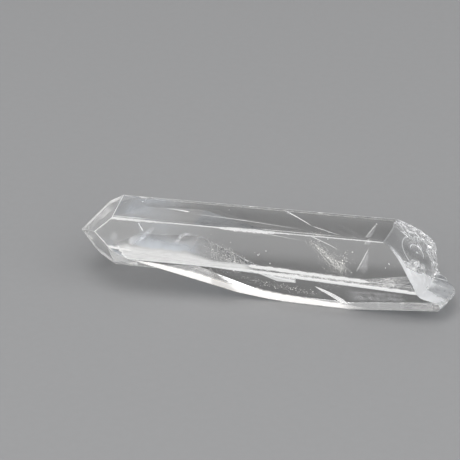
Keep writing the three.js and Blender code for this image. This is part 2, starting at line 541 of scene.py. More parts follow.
def read(items, name, width):
    """The numbers of that name of every point or face, one row for each."""
    values = np.empty(len(items) * width)
    items.foreach_get(name, values)
    return values.reshape(-1, width)


def mark_break(piece, s):
    """Stores how frosted and how close to a white seam each point of the break is.

    inside is how far a point lies in from a long face, whose normal points along turn.
    """
    spots = read(piece.data.vertices, "co", 3)
    y, z = spots[:, 1:].T
    up = z - s.axis_height / MM
    wide_side = lower_planes(s)[1][0]

    def inside(turn):
        around = math.radians(turn)
        return s.reach / MM - math.cos(around) * y - math.sin(around) * up

    warped = swerve(y, z)
    front_band = ease(0.75, 0.25, inside(150) - 0.11 * (10.0 - z)) * ease(3.6, 5.6, z)
    wavy = z - 0.30 * np.sin(1.7 * y) + 0.06 * np.sin(5.0 * y)
    core = frosted(y, z) * (0.40 + 0.60 * ease(2.9, 3.7, wavy))
    frost = np.maximum.reduce([core, front_band * ease(10.5, 8.4, z), np.full(len(y), 0.12)])
    coarse = shells(*warped, *COARSE_SHELLS)[1]
    fine = shells(*warped, *FINE_SHELLS)[1]
    seams = np.maximum(coarse, 0.45 * fine) * crumbled(y, z)
    knots = 0.55 + 0.45 * np.sin(5.0 * y + 3.0 * z) * np.sin(4.0 * z)
    back_rim = crest(np.minimum(inside(30), inside(-30)), 0.17) * knots
    top_rim = 0.35 * crest(inside(90), 0.09)
    lug_rim = np.maximum(crest(wide_side[3] - spots @ wide_side[:3], 0.16),
                         crest(z + 0.14 * y - 3.0, 0.11) * frosted(y, z))
    lug_rim = lug_rim * ease(3.6, 3.2, z) * knots
    rims = np.maximum.reduce([back_rim, top_rim, lug_rim])
    store(piece, "frost", frost)
    store(piece, "seam", np.maximum.reduce([seams, rims, 0.85 * hollow_rings(y, z)]))


def finish_faces(piece, s):
    """Smooths the break and gives each kind of face its finish. What is left of the
    underside gets the etched one.
    """
    faces = piece.data.polygons
    centres, normals = read(faces, "center", 3), read(faces, "normal", 3)
    slots = read(faces, "material_index", 1)[:, 0].astype(np.int32)
    faces.foreach_set("use_smooth", slots == BROKEN)
    top, front, _, _, *tips = crown_planes(s)
    narrow, belly, bulge = lower_planes(s)
    finishes = [(top, TOP), (front, FRONT), (narrow[0], SIDE), (belly[0], SIDE), (bulge[0], SIDE)]
    finishes += [(plane, TIP) for plane in (*tips, narrow[1], narrow[2])]
    polished = slots == POLISHED
    slots[polished & (normals[:, 2] < -0.6)] = ETCHED
    for plane, finish in finishes:
        here = (np.abs(centres @ plane[:3] - plane[3]) < 0.01) & (normals @ plane[:3] > 0.999)
        slots[polished & here] = finish
    faces.foreach_set("material_index", slots)


def build_crystal(s, b, finishes):
    """The whole crystal as one closed mesh with worn edges and a broken base."""
    narrow, belly, bulge = lower_planes(s)
    lower = solid("lower", belly)
    combine(lower, solid("narrow", narrow), "UNION")
    combine(lower, solid("bulge", bulge), "UNION")
    crystal = solid("quartz_crystal", crown_planes(s))
    combine(crystal, lower, "INTERSECT")
    weld(crystal, math.radians(0.3))
    wear = crystal.modifiers.new("wear", "BEVEL")
    wear.width = s.edge_wear / MM
    wear.segments = 3
    wear.limit_method = "ANGLE"
    wear.angle_limit = math.radians(12.0)
    wear.material = WORN
    wear.miter_outer = "MITER_ARC"
    cutter = past_break(s, b)
    for finish in finishes:
        crystal.data.materials.append(finish)
        cutter.data.materials.append(finish)
    settle(crystal)
    combine(crystal, cutter, "DIFFERENCE")
    weld(crystal)
    mark_break(crystal, s)
    finish_faces(crystal, s)
    to_row(crystal, s)
    return crystal


# ---- films, streaks and specks inside the crystal ---------------------------------

def turned(count, rng):
    """Random right-handed sets of three unit axes."""
    axes = np.linalg.qr(rng.normal(size=(count, 3, 3)))[0]
    axes[:, :, 0] *= np.sign(np.linalg.det(axes))[:, None]
    return np.swapaxes(axes, 1, 2)


def flecks(centres, sizes, rng):
    """Closed eight-sided flecks: corners at centre +- size * (1, 0.7, 0.35) along
    three random axes. Returns points, rings and covers.
    """
    count = len(centres)
    axes = turned(count, rng) * np.array([1.0, 0.7, 0.35])[:, None]
    arms = axes * np.asarray(sizes)[:, None, None]
    corners = np.stack([arms, -arms], axis=2).reshape(count, 6, 3)
    points = (np.asarray(centres)[:, None, :] + corners).reshape(-1, 3)
    a, na, b, nb, c, nc = range(6)
    pattern = np.array([
        [a, b, c], [b, na, c], [na, nb, c], [nb, a, c],
        [b, a, nc], [na, b, nc], [nb, na, nc], [a, nb, nc]])
    rings = (pattern[None] + 6 * np.arange(count)[:, None, None]).reshape(-1, 3)
    return points, rings.tolist(), np.ones(len(points))


def smooth_path(knots, count):
    """Points on a smooth curve through the knots (Catmull-Rom)."""
    knots = np.asarray(knots, float)
    ends = np.vstack([2 * knots[0] - knots[1], knots, 2 * knots[-1] - knots[-2]])
    place = np.linspace(0.0, len(knots) - 1 - 1e-9, count)
    i = place.astype(int)
    t = (place - i)[:, None]
    p0, p1, p2, p3 = ends[i], ends[i + 1], ends[i + 2], ends[i + 3]
    return 0.5 * (2 * p1 + (p2 - p0) * t + (2 * p0 - 5 * p1 + 4 * p2 - p3) * t ** 2
                  + (3 * p1 - p0 - 3 * p2 + p3) * t ** 3)


def blade(knots, widths, covers=(1.0, 1.0), depth=0.05, across=(0.0, -0.45, 0.89), count=24):
    """A thin closed blade along a curve, as points, rings and covers.

    Each section is a diamond: half the local width to each side along across, and
    half of depth to each side at right angles to it. Both ends close to a point.
    widths and covers are spread evenly along the curve.
    """
    path = smooth_path(knots, count)
    along = np.gradient(path, axis=0)
    along /= np.linalg.norm(along, axis=1)[:, None]
    side = across - (along @ np.asarray(across))[:, None] * along
    side /= np.linalg.norm(side, axis=1)[:, None]
    lift = np.cross(along, side)
    u = np.linspace(0.0, 1.0, count)
    taper = np.minimum(1.0, 6.0 * np.minimum(u, 1.0 - u)) + 1e-3
    half = (0.5 * np.interp(u, np.linspace(0.0, 1.0, len(widths)), widths) * taper)[:, None]
    rise = 0.5 * depth * taper[:, None]
    sections = np.stack([
        path + side * half, path + lift * rise,
        path - side * half, path - lift * rise], axis=1)
    first = 4 * np.arange(count - 1)[:, None]
    corner = np.arange(4)[None]
    after = (corner + 1) % 4
    quads = np.stack([
        first + corner, first + after, first + 4 + after, first + 4 + corner], axis=-1)
    rings = quads.reshape(-1, 4).tolist()
    rings.append([3, 2, 1, 0])
    rings.append([4 * count - 4, 4 * count - 3, 4 * count - 2, 4 * count - 1])
    cover = np.interp(u, np.linspace(0.0, 1.0, len(covers)), covers)
    return sections.reshape(-1, 3), rings, np.repeat(cover, 4)


def film(upper, lower, cover, seed, sway=1.0, count=(40, 24)):
    """A thin closed sheet between two curves, as points, rings and covers.

    With u along and v across from 0 to 1, a point is (1 - v) times the upper curve
    plus v times the lower one, moved by slow waves at right angles. The two skins lie
    0.012 apart and meet at the rim through a narrow wall. cover(u, v) is how dense
    the sheet is.
    """
    phase = np.random.default_rng(seed).uniform(0.0, 6.28, 2)
    along, across = count
    u, v = np.meshgrid(np.linspace(0, 1, along), np.linspace(0, 1, across), indexing="ij")
    first, second = smooth_path(upper, along), smooth_path(lower, along)
    middle = first[:, None] + v[..., None] * (second - first)[:, None]
    out = np.cross(second[-1] - second[0], first[0] - second[0])
    out /= np.linalg.norm(out)
    wave = 0.06 * np.sin(5.0 * u + phase[0]) + 0.05 * np.sin(6.0 * v + phase[1])
    middle = middle + sway * wave[..., None] * out
    points = np.concatenate([(middle + 0.006 * out).reshape(-1, 3),
                             (middle - 0.006 * out).reshape(-1, 3)])
    grid = np.arange(along * across).reshape(along, across)
    near = grid_quads(grid)
    far = near[:, ::-1] + grid.size
    rim = np.concatenate([grid[:-1, 0], grid[-1, :-1], grid[:0:-1, -1], grid[0, :0:-1]])
    after = np.roll(rim, -1)
    wall = np.stack([rim, after, after + grid.size, rim + grid.size], axis=-1)
    return points, np.vstack([near, far, wall]).tolist(), np.tile(cover(u, v).ravel(), 2)


def soft_rim(u, v, width=0.3):
    """1 in the middle of a sheet, easing to 0 at its rim."""
    return (ease(0.0, width, u) * ease(1.0, 1.0 - width, u)
            * ease(0.0, width, v) * ease(1.0, 1.0 - width, v))


def behind_front(knots, s, depth):
    """Points a little behind the lower front faces, from distances and heights."""
    x, z = np.asarray(knots, float).T
    bulge_side, wide_side = lower_planes(s)[2][0], lower_planes(s)[1][0]
    near, far = ((side[3] - side[0] * x - side[2] * z) / side[1]
                 for side in (bulge_side, wide_side))
    y = np.where(x < BAND_TURN, np.minimum(near, far), far)
    return np.column_stack([x, y + depth, z])


def inside_piece(name, parts, material, s):
    """One piece inside the crystal from several (points, rings, covers)."""
    points, rings, covers, start = [], [], [], 0
    for some_points, some_rings, some_covers in parts:
        points.append(some_points)
        covers.append(some_covers)
        rings.extend([start + number for number in ring] for ring in some_rings)
        start += len(some_points)
    piece = mesh_object(name, np.vstack(points), rings)
    store(piece, "cover", np.concatenate(covers))
    piece.data.materials.append(material)
    to_row(piece, s)
    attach(piece, "root")


# ---- materials ----------------------------------------------------------------

class Value:
    """A number that nodes work out, so that formulas can be written with + - * /."""

    def __init__(self, nodes, socket):
        self.nodes = nodes
        self.socket = socket

    def __add__(self, other):
        return self.nodes.math("ADD", self, other)

    def __sub__(self, other):
        return self.nodes.math("SUBTRACT", self, other)

    def __rsub__(self, other):
        return self.nodes.math("SUBTRACT", other, self)

    def __mul__(self, other):
        return self.nodes.math("MULTIPLY", self, other)

    def __truediv__(self, other):
        return self.nodes.math("DIVIDE", self, other)


class Nodes:
    """Short calls for building a node tree."""

    def __init__(self, owner):
        owner.use_nodes = True
        self.tree = owner.node_tree
        self.tree.nodes.clear()

    def add(self, kind, **inputs):
        node = self.tree.nodes.new("ShaderNode" + kind)
        for key, value in inputs.items():
            self.set(node, key.replace("_", " "), value)
        return node

    def set(self, node, key, value):
        if isinstance(value, Value):
            value = value.socket
        if isinstance(value, bpy.types.NodeSocket):
            self.tree.links.new(value, node.inputs[key])
        else:
            node.inputs[key].default_value = value

    def operate(self, kind, operation, values):
        node = self.add(kind)
        node.operation = operation
        for index, value in enumerate(values):
            self.set(node, index, value)
        return node.outputs

    def math(self, operation, *values):
        return Value(self, self.operate("Math", operation, values)[0])

    def vector(self, operation, *values):
        return self.operate("VectorMath", operation, values)["Vector"]

    def measure(self, operation, *values):
        """A number worked out from vectors."""
        return Value(self, self.operate("VectorMath", operation, values)["Value"])

    def least(self, values):
        return reduce(partial(self.math, "MINIMUM"), values)

    def most(self, *values):
        return reduce(partial(self.math, "MAXIMUM"), values)

    def ramp(self, value, low, high, start, end):
        """A smooth step from start to end while value goes from low to high."""
        node = self.add("MapRange")
        node.interpolation_type = "SMOOTHSTEP"
        for key, item in zip(("Value", "From Min", "From Max", "To Min", "To Max"),
                             (value, low, high, start, end)):
            self.set(node, key, item)
        return Value(self, node.outputs[0])

    def noise(self, where, scale, detail):
        grain = self.add("TexNoise", Vector=where, Scale=scale, Detail=detail)
        return Value(self, grain.outputs["Fac"])

    def attribute(self, name):
        layer = self.add("Attribute")
        layer.attribute_name = name
        return Value(self, layer.outputs["Fac"])

    def mix(self, share, first, second):
        """A blend of two colours."""
        node = self.add("Mix")
        node.data_type = "RGBA"
        for index, value in ((0, share), (6, first), (7, second)):
            self.set(node, index, value)
        return node.outputs[2]


class QuartzNodes(Nodes):
    """Nodes of a finish on or in the crystal.

    where is the place in millimetres from the floor below the tip; along and height
    are its X and Z.
    """

    def __init__(self, name, s):
        self.material = bpy.data.materials.new(name)
        super().__init__(self.material)
        self.s = s
        place = self.vector("SUBTRACT", self.add("TexCoord").outputs["Object"], tip_foot(s))
        self.where = self.vector("MULTIPLY", place, (1.0 / MM,) * 3)
        split = self.add("SeparateXYZ", Vector=self.where)
        self.along = Value(self, split.outputs["X"])
        self.height = Value(self, split.outputs["Z"])

    def over(self, low, high, start, end):
        """A smooth step from start to end over one stretch of the crystal."""
        return self.ramp(self.along, low, high, start, end)

    def grain(self, scale, detail, squeeze=None):
        """Noise, finer by squeeze along, across and up, if that is given."""
        where = self.where if squeeze is None else self.vector("MULTIPLY", self.where, squeeze)
        return self.noise(where, scale, detail)

    def beside(self, line, half):
        """Distance from a line, as a share of half."""
        point, direction = line
        away = self.vector("CROSS_PRODUCT", self.vector("SUBTRACT", self.where, point), direction)
        return self.measure("LENGTH", away) / half

    def bruised(self, edges, chips=()):
        """How white the edges are at a point: worn bands with ragged borders.

        edges pairs lines with half widths. chips are larger bruises on the back top
        edge, as their distance along it and their size.
        """
        shares = [self.beside(line, half) for line, half in edges]
        reach = self.s.reach / MM
        for place, size in chips:
            middle = (place, reach * math.tan(math.radians(30.0)), reach + self.s.axis_height / MM)
            away = self.vector("SUBTRACT", self.where, middle)
            away = self.vector("MULTIPLY", away, (0.5, 1.0, 1.0))
            shares.append(self.measure("LENGTH", away) / size)
        ragged = self.least(shares) + self.grain(1.6, 6.0, (0.8, 2.6, 2.6)) * 1.4 - 0.7
        return self.ramp(ragged, 0.45, 1.25, 0.96, 0.0)

    def quartz(self, tint, white, roughness, relief, strength):
        """Ends the material: clear quartz where white is 0, pale where it is more."""
        bump = self.add("Bump", Height=relief, Strength=strength, Distance=0.1 * MM)
        shader = self.add(
            "BsdfPrincipled", Base_Color=tint, Roughness=roughness, IOR=self.s.refraction,
            Transmission_Weight=1.0 - white, Normal=bump.outputs[0])
        self.add("OutputMaterial", Surface=shader.outputs[0])
        return self.material


def meeting_line(first, second):
    """The line where two faces meet, as one of its points and its direction."""
    direction = np.cross(first[:3], second[:3])
    direction /= np.linalg.norm(direction)
    rows = np.array([first[:3], second[:3], direction])
    point = np.linalg.solve(rows, [first[3], second[3], 0.0])
    return tuple(point), tuple(direction)


def shifted(line, offset):
    """The same line moved sideways."""
    point, direction = line
    return tuple(np.add(point, offset)), direction


def ridge_half(n):
    """Half width of the white band on the front ridge: wide near the tip and again
    before the middle.
    """
    swelling = n.over(18.5, 22.5, 0.0, 0.22) * n.over(25.5, 29.0, 1.0, 0.0)
    return n.over(8.0, 14.0, 0.24, 0.11) + swelling


def top_cover(n, s):
    """White edges of the top face and the bloom behind its tip end."""
    top, front, back, _, tip_top, _, _ = crown_planes(s)
    ridge = meeting_line(top, front)
    far_line = n.over(25.5, 26.5, 0.0, 0.06) * n.over(33.0, 37.0, 1.0, 0.0)
    edges = n.bruised([
        (ridge, ridge_half(n)),
        (shifted(ridge, (0.0, 0.50, 0.0)), n.over(8.0, 11.0, 0.09, 0.01) + far_line),
        (meeting_line(top, back), 0.12),
        (meeting_line(top, tip_top), 0.11)], BACK_EDGE_CHIPS)
    cloud = (n.ramp(n.grain(0.30, 2.5), 0.32, 0.66, 0.08, 0.24)
             + n.ramp(n.grain(1.3, 6.0), 0.30, 0.76, 0.0, 0.16))
    return edges, 0.0, cloud * n.over(6.0, 18.0, 1.0, 0.0)


def front_cover(n, s):
    """White edges of the front face, the doubled white line over its lower edge, a
    white wedge that narrows along that edge, and the bloom above the wedge. The
    doubled line and the wedge are painted reflection: white that stands for light
    mirrored inside the crystal along the lower edge.

    The wedge begins at a jagged chipped line that slants down and to the tip.
    """
    top, front, _, _, tip_top, tip_front, _ = crown_planes(s)
    (narrow_side, *_), (wide_side, *_), (bulge_side, *_) = lower_planes(s)
    low_edge = meeting_line(front, wide_side)
    # Painted reflection: the doubled white line just over the lower edge.
    doubled = n.over(24.3, 24.9, 0.0, 0.25) * n.over(39.5, 41.2, 1.0, 0.0)
    edges = n.bruised([
        (meeting_line(top, front), ridge_half(n)),
        (shifted(low_edge, (0.0, 0.10, 0.17)), n.over(24.0, 26.0, 0.01, 0.24)),
        (shifted(low_edge, (0.0, 0.42, 0.73)), doubled + 0.01),
        (meeting_line(front, bulge_side), n.over(24.5, 26.5, 0.20, 0.01)),
        (meeting_line(front, narrow_side), n.over(8.0, 8.6, 0.16, 0.01)),
        (meeting_line(front, tip_front), 0.15),
        (meeting_line(front, tip_top), 0.15)])
    # Painted reflection: the white wedge over the lower edge, and the chipped line where it
    # starts.
    above = n.height - WEDGE_FOOT
    cloud = n.grain(0.30, 2.5)
    bloom = (n.ramp(cloud, 0.32, 0.66, 0.25, 0.55) * n.ramp(above, 1.2, 3.4, 1.0, 0.35)
             * n.over(6.5, 10.0, 0.30, 1.0) * n.over(13.0, 21.0, 1.0, 0.0))
    share = above / n.over(14.5, 20.0, 1.95, 0.82) + cloud * 0.5 - 0.25
    slanted = n.along + above * 1.05 + n.grain(1.6, 4.0) * 1.2 - 0.6
    wedge = (n.ramp(share, 0.55, 1.1, 1.0, 0.0) * n.over(23.5, 26.5, 0.76, 0.0)
             * n.ramp(slanted, WEDGE_START - 0.25, WEDGE_START + 0.05, 0.0, 1.0))
    chipped = (n.ramp(n.math("ABSOLUTE", slanted - WEDGE_START), 0.12, 0.28, 1.0, 0.0)
               * n.ramp(above, 1.35, 1.6, 1.0, 0.0))
    brushed = n.ramp(n.grain(1.5, 4.0, BRUSHED), 0.3, 0.65, 0.84, 1.0)
    return edges, n.most(wedge, chipped) * brushed, bloom


def tip_cover(n, s):
    """A white band along the outer edges of the tip, a clearer line inside it and a
    faint haze beyond.
    """
    _, _, back, _, tip_top, tip_front, tip_back = crown_planes(s)
    chin = lower_planes(s)[0][1]
    lines = [meeting_line(*pair) for pair in (
        (tip_top, tip_back), (back, tip_top), (tip_front, tip_back), (tip_front, chin))]
    edges = n.bruised([(line, 0.20) for line in lines])
    brushed = n.grain(1.5, 4.0, BRUSHED)
    inwards = n.least([n.beside(line, 1.0) for line in lines]) + brushed * 0.4 - 0.2
    band = n.ramp(inwards, 1.00, 1.50, 0.62, 0.03) * n.ramp(brushed, 0.35, 0.65, 0.75, 1.0)
    return edges, n.most(band, n.ramp(inwards, 1.4, 2.1, 0.0, 0.22)), 0.0


def side_cover(n, s):
    """White lower edges of the front side faces, slightly milky near the tip."""
    narrow, (wide_side, rise, _, rest, heel), (bulge_side, *_) = lower_planes(s)
    edges = n.bruised([
        (meeting_line(narrow[0], narrow[1]), n.over(11.0, 13.0, 0.22, 0.01)),
        (meeting_line(narrow[0], narrow[2]), 0.18),
        (meeting_line(wide_side, rest), n.over(22.0, 25.0, 0.01, 0.15)),
        (meeting_line(wide_side, heel), n.over(34.0, 37.0, 0.01, 0.15)),
        (meeting_line(bulge_side, rise), n.over(21.0, 23.0, 0.15, 0.01))])
    return edges, n.over(9.0, 12.0, 0.08, 0.0), 0.0


def plain_cover(n, s):
    """Slightly bruised back edges, milky near the tip."""
    top, _, back, low_back, _, _, tip_back = crown_planes(s)
    edges = n.bruised([
        (meeting_line(top, back), 0.10),
        (meeting_line(back, low_back), 0.16),
        (meeting_line(back, tip_back), 0.14)])
    return edges, n.over(4.0, 15.0, 0.28, 0.0), 0.0


def polished_material(name, cover, s, colours):
    """Bright clear quartz under white edges, a white cover and a bluish bloom, with a
    few dull touches and faint growth lines across the crystal.
    """
    n = QuartzNodes(name, s)
    edges, white, bloom = cover(n, s)
    white = n.most(edges, white)
    dull = n.ramp(n.grain(1.6, 5.0), 0.55, 0.80, 0.0, 0.05)
    blue = n.ramp(n.math("SUBTRACT", bloom, white), 0.0, 0.3, 0.0, 1.0)
    tint = n.mix(blue, colours.clear, colours.bloom)
    growth = n.grain(1.0, 3.0, (3.0, 0.12, 0.12))
    return n.quartz(tint, n.most(white, bloom), edges * 0.4 + dull, growth, 0.015)


def etched_material(s, colours):
    """The dull underside behind the tip, clearer towards the belly."""
    n = QuartzNodes("etched", s)
    fade = n.over(10.0, 21.0, 1.0, 0.0)
    rough = n.ramp(n.grain(0.5, 4.0), 0.3, 0.7, 0.22, 0.42) * fade
    cloud = n.ramp(n.grain(0.7, 5.0), 0.35, 0.65, 0.10, 0.55) * fade
    return n.quartz(colours.etched, cloud, rough, n.grain(0.9, 3.0), 0.5)


def worn_material(s, colours):
    """Edges rubbed pale, whiter in some stretches than in others, and nearly clear
    near the floor and low down in the tip half.
    """
    n = QuartzNodes("worn", s)
    fine = n.grain(7.0, 4.0)
    pale = (n.ramp(n.grain(0.8, 4.0), 0.38, 0.62, 0.60, 0.98)
            + n.ramp(fine, 0.4, 0.7, -0.20, 0.02))
    low_tip_half = n.over(26.0, 30.0, 0.85, 0.0) * n.ramp(n.height, 3.6, 4.8, 1.0, 0.0)
    shown = 1.0 - n.most(low_tip_half, n.ramp(n.height, 0.6, 1.4, 0.85, 0.0))
    rough = n.ramp(fine, 0.3, 0.7, 0.25, 0.55) * shown
    return n.quartz(colours.worn, pale * shown, rough, fine, 0.4)


def broken_material(s, colours):
    """Glassy break with frosted parts and white seams, from the stored amounts."""
    n = QuartzNodes("broken", s)
    patch = n.ramp(n.grain(1.3, 2.5, (1.0, 0.9, 1.7)), 0.30, 0.66, 0.70, 1.0)
    pale = n.most(n.attribute("frost") * patch * 0.92, n.attribute("seam") * 0.9)
    pale = n.least([pale, 0.95])
    return n.quartz(colours.broken, pale, pale * 0.45 + 0.02, n.grain(4.0, 3.0), 0.12)


def dimmed(tint, share):
    """A darker shade of a colour."""
    return tuple(share * part for part in tint[:3]) + (1.0,)


def film_material(name, tint, scale, thin, glow, s):
    """Pale matter inside the crystal, as dense as its stored cover and its grain.

    glow is a painted glow: the matter glows though it is no lamp, standing for the light that fine
    cracks mirror.
    """
    n = QuartzNodes(name, s)
    grain = n.grain(scale, 5.0)
    dense = n.attribute("cover") * n.ramp(grain, 0.38, 0.62, thin, 1.0)
    # Painted glow: the emission makes the matter shine without a lamp.
    shader = n.add(
        "BsdfPrincipled", Base_Color=n.mix(grain, dimmed(tint, 0.9), tint), Roughness=0.5,
        Alpha=dense, Emission_Color=tint, Emission_Strength=glow)
    n.add("OutputMaterial", Surface=shader.outputs[0])
    return n.material


def floor_material(tint):
    """A plain pale floor with a faint grain."""
    material = bpy.data.materials.new("floor")
    n = Nodes(material)
    grain = n.noise(n.add("TexCoord").outputs["Object"], 900.0, 3.0)
    shader = n.add("BsdfPrincipled", Base_Color=n.mix(grain, dimmed(tint, 0.95), tint),
                   Roughness=0.8)
    n.add("OutputMaterial", Surface=shader.outputs[0])
    return material


# ---- operators ------------------------------------------------------------------

class QUARTZ_OT_crystal(bpy.types.Operator):
    """Builds the crystal itself"""
    bl_idname = "quartz.crystal"
    bl_label = "Build crystal"

    def execute(self, context):
        scene = context.scene
        s, colours = scene.quartz_sizes, scene.quartz_colours
        finishes = [
            polished_material("plain_faces", plain_cover, s, colours),
            broken_material(s, colours),
            worn_material(s, colours),
            etched_material(s, colours),
            polished_material("top_face", top_cover, s, colours),
            polished_material("front_face", front_cover, s, colours),
            polished_material("tip_faces", tip_cover, s, colours),
            polished_material("side_faces", side_cover, s, colours)]
        crystal = build_crystal(s, scene.quartz_break, finishes)
        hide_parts("quartz_point")
        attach(crystal, "root")
        return {"FINISHED"}


class QUARTZ_OT_specks(bpy.types.Operator):
    """Scatters specks, wisps and feathery strokes inside the crystal"""
    bl_idname = "quartz.specks"
    bl_label = "Build specks"

    def execute(self, context):
        s, colours = context.scene.quartz_sizes, context.scene.quartz_colours
        rng = np.random.default_rng(21)
        # The last number of each film material but s is its painted glow.
        pale = film_material("pale_specks", colours.specks, 3.0, 0.7, 0.40, s)
        bright = film_material("bright_specks", colours.streaks, 3.0, 0.9, 0.5, s)
        inside_piece("feather", self.feather(rng), pale, s)
        inside_piece("wisps", self.wisps(rng), pale, s)
        side_cloud = self.cloud(rng, SIDE_CLOUD, (0.5, 0.25, 0.35), 300, 0.048)
        inside_piece("side_cloud", [side_cloud], pale, s)
        singles = flecks(SINGLE_SPECKS[:, :3], SINGLE_SPECKS[:, 3], rng)
        inside_piece("single_specks", [singles], bright, s)
        return {"FINISHED"}

    def cloud(self, rng, line, spread, count, size):
        """Flecks scattered round a line."""
        t = rng.uniform(0.0, 1.0, count)
        centres = np.outer(1.0 - t, line[0]) + np.outer(t, line[1])
        centres = centres + rng.normal(size=(count, 3)) * spread
        return flecks(centres, size * rng.lognormal(0.0, 0.45, count), rng)

    def strokes(self, rng, line, spread, sweep, count):
        """Short bent blades along a line; sweep is their run, changed a little each."""
        start, end = np.array(line)
        parts = []
        for t in rng.uniform(0.0, 1.0, count):
            first = (1.0 - t) * start + t * end + rng.normal(size=3) * spread
            run = np.asarray(sweep) * rng.uniform(0.4, 1.2) + rng.normal(size=3) * 0.18
            bend = rng.normal(size=3) * 0.08
            knots = [first, first + 0.5 * run + bend, first + run]
            parts.append(blade(knots, (0.06, 0.04), (0.9, 0.4), 0.02, count=10))
        return parts

    def feather(self, rng):
        """A band that runs down and to the base, denser at its foot."""
        return [
            self.cloud(rng, FEATHER, (0.30, 0.25, 0.32), 800, 0.028),
            self.cloud(rng, FEATHER_FOOT, (0.85, 0.3, 0.65), 800, 0.025),
            self.cloud(rng, FEATHER_TUFT, (0.55, 0.2, 0.5), 60, 0.055),
            *self.strokes(rng, FEATHER, (0.4, 0.2, 0.4), (0.9, -0.3, -0.8), 40),
            *self.strokes(rng, FEATHER_QUILL, (0.4, 0.2, 0.3), (0.15, -0.3, -1.0), 26)]

    def wisps(self, rng):
        """Upright wisps behind the bulge and a loose cloud about them."""
        return [
            self.cloud(rng, WISP_CLOUD, (1.2, 0.3, 0.9), 260, 0.034),
            self.cloud(rng, WISP_CORE, (0.6, 0.2, 0.6), 120, 0.040),
            *self.strokes(rng, WISP_STROKES, (0.7, 0.3, 0.5), (0.25, -0.5, -1.1), 20)]


class QUARTZ_OT_streaks(bpy.types.Operator):
    """Builds the thin bright streaks inside the crystal"""
    bl_idname = "quartz.streaks"
    bl_label = "Build streaks"

    def execute(self, context):
        s, colours = context.scene.quartz_sizes, context.scene.quartz_colours
        _, _, back, _, tip_top, tip_front, tip_back = crown_planes(s)
        chin, low_tip = lower_planes(s)[0][1:3]
        rims = [
            self.rim(tip_front, tip_back, (0.15, 1.7), (0.40, 0.50)),
            self.rim(tip_front, low_tip, (1.8, 2.45), (0.55, 0.55)),
            self.rim(tip_front, chin, (2.5, 5.0), (0.60, 0.60)),
            self.rim(tip_top, tip_back, (0.15, 2.95), (0.40, 0.60)),
            self.rim(tip_top, back, (3.1, 5.1), (0.60, 0.50))]
        # The last number of each film material but s is its painted glow.
        pale = film_material("rims", colours.streaks, 2.0, 0.6, 0.50, s)
        bright = film_material("streaks", colours.streaks, 2.0, 0.85, 0.45, s)
        inside_piece("tip_rims", rims, pale, s)
        inside_piece("bright_streaks", self.bright(), bright, s)
        inside_piece("faint_streaks", self.faint(), bright, s)
        return {"FINISHED"}

    def rim(self, seen, other, span, widths):
        """A pale blade close behind the face seen, along its edge with the other one,
        over a span of distances from the tip.
        """
        point, direction = (np.array(part) for part in meeting_line(seen, other))
        across = np.cross(seen[:3], direction)
        across *= -np.sign(across @ other[:3])
        reach = (np.linspace(*span, 4) - point[0]) / direction[0]
        knots = point + reach[:, None] * direction + 0.40 * across - 0.10 * seen[:3]
        return blade(knots, widths, (0.8, 0.8), 0.04, across)

    def bright(self):
        """A level streak under the top face, a needle and a bent crack behind the tip,
        a long blade low in the wide side and a bent streak at the back.
        """
        return [
            blade([(11.3, 1.67, 8.54), (13.2, 1.5, 8.56), (15.03, 1.24, 8.54)],
                  (0.06, 0.14, 0.34), (0.5, 1.0), across=LEVEL),
            blade([(8.79, -2.24, 9.3), (9.2, -2.5, 8.8), (9.57, -2.78, 8.37)],
                  (0.10, 0.17), across=LENGTHWISE),
            blade([(5.05, -4.62, 6.75), (5.66, -4.86, 6.86), (6.36, -4.97, 6.7),
                   (6.95, -5.10, 6.38), (7.35, -5.22, 6.00), (8.1, -5.38, 5.75)],
                  (0.10, 0.22, 0.12, 0.26, 0.34, 0.2), (0.7, 1.0), count=40),
            blade([(33.2, -4.2, 3.81), (35.29, -4.07, 2.57), (37.62, -3.83, 0.9)],
                  (0.20, 0.60, 0.80), (0.6, 1.0, 1.0), across=(0.5, 0.0, 0.9)),
            blade([(27.28, 4.49, 7.71), (29.6, 2.8, 7.72), STREAK_BEND],
                  (0.24, 0.14, 0.12), (1.0, 0.7), across=LEVEL)]

    def faint(self):
        """The far end of the bent streak, the two rims of the triangular film and a
        long thread under the top face.
        """
        return [
            blade([STREAK_BEND, (34.0, 0.4, 7.2), (36.07, 0.01, 6.46)],
                  (0.16, 0.08), (0.7, 0.3), across=LEVEL),
            blade([(39.99, -0.56, 7.61), (39.3, -1.4, 6.2), (38.54, -2.22, 4.74)],
                  (0.10, 0.16), (0.45, 0.25), across=LENGTHWISE),
            blade([(39.34, -1.36, 8.37), (39.8, 0.6, 8.37), (40.26, 2.58, 8.37)],
                  (0.12, 0.12), (0.35, 0.55), across=LENGTHWISE),
            blade([(14.5, 1.2, 8.1), (22.0, 0.8, 7.9), (31.6, 0.0, 7.4)],
                  (0.10, 0.12, 0.08), (0.25, 0.55, 0.3), across=LEVEL, count=40)]


